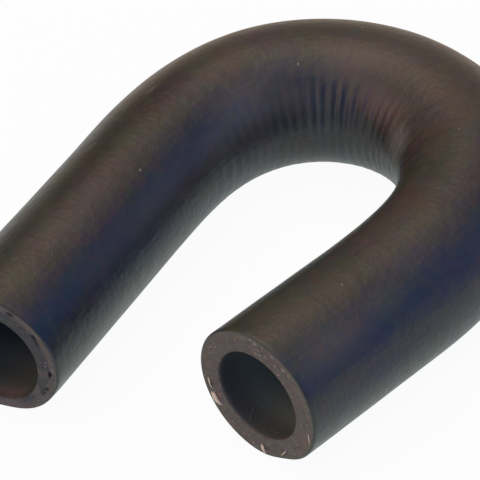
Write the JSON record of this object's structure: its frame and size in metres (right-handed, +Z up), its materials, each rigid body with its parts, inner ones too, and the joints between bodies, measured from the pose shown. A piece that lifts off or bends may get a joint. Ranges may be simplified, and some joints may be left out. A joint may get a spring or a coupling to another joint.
{
  "type": "heater hose",
  "caption": "U-shaped moulded rubber coolant hose, with a smooth round bore, a thick wall, fine gathers inside the bend and plain knife-cut ends.",
  "frame": {"origin": "middle of the hose's box, on the surface that the hose lies on", "axes": "+Z up, the hose lying on its side; leg A runs along Y with its cut end towards -Y, and the bend is at +Y"},
  "size_m": [0.0772, 0.1054, 0.025],
  "materials": {
    "rubber": "satin"
  },
  "bodies": {
    "root": {"hose": "rubber"}
  },
  "joints": []
}
